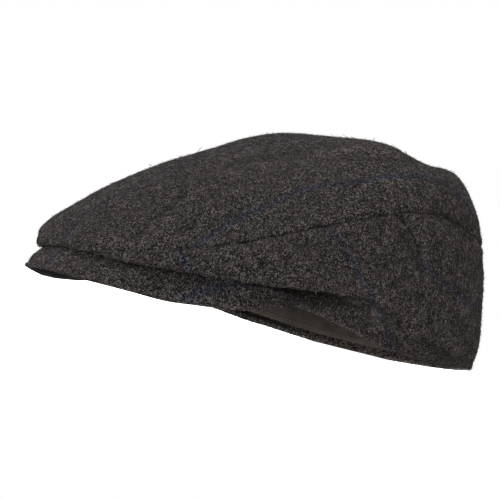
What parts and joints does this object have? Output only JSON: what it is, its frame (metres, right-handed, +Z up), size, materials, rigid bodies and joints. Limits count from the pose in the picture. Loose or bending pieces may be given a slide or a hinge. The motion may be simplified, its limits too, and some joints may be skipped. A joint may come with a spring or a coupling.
{
  "type": "flat cap",
  "caption": "Flat cap of tweed with a full crown that folds over a stiff curved peak, panelled sides and back, and an open hollow with a sweatband for the head.",
  "frame": {"origin": "middle of the cap's length and width, on the surface it rests on", "axes": "+Z up through the crown, the peak towards -Y, the wearer's left at +X"},
  "size_m": [0.1922, 0.249, 0.1072],
  "materials": {
    "tweed": "fuzzy wool tweed in charcoal brown with faint navy stripes",
    "sweatband": "smooth dark brown-grey cotton"
  },
  "bodies": {
    "root": {"top_panel": "tweed", "side_panel_left": "tweed", "side_panel_right": "tweed", "back_panel": "tweed", "peak": "tweed", "sweatband": "sweatband"}
  },
  "joints": []
}
